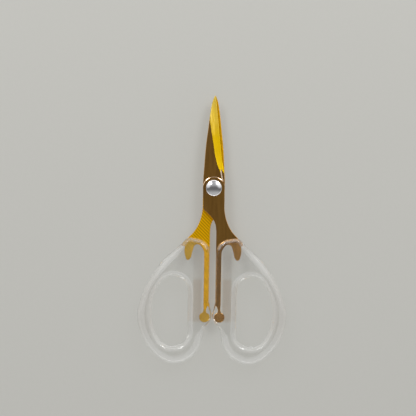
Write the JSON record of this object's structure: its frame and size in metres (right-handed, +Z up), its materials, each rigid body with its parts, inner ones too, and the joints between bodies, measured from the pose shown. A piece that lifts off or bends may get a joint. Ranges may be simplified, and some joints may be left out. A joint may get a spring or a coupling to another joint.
{
  "type": "thread snips",
  "caption": "Small pivoting thread snips with slim pointed gold-coated blades, a domed rivet and clear moulded finger-ring handles; opens about the rivet.",
  "frame": {"origin": "middle of the underside of the closed snips' bounding box, on the surface they lie on", "axes": "+Y from the handles to the tips, +Z up out of the flat snips on the domed side of the rivet, +X to the right handle, the one that belongs to the front (upper) blade"},
  "size_m": [0.0704, 0.127, 0.0072],
  "materials": {
    "gold_steel": "stainless steel with a thin gold-coloured nitride coating, mirror polished outside, finely ground on the inner faces and the edge facet",
    "clear_plastic": "clear colourless moulded plastic, glossy",
    "polished_steel": "polished bright steel"
  },
  "bodies": {
    "rear_half": {"rear_blade": "gold_steel", "left_handle": "clear_plastic", "pivot_rivet": "polished_steel", "rivet_cap": "polished_steel"},
    "front_half": {"front_blade": "gold_steel", "right_handle": "clear_plastic"}
  },
  "joints": [
    {"name": "blade_pivot", "type": "hinge", "parent": "rear_half", "child": "front_half", "pos_m": [0, 0.01984, 0.0036], "axis": [0, 0, 1], "range_deg": [0, 142]}
  ]
}
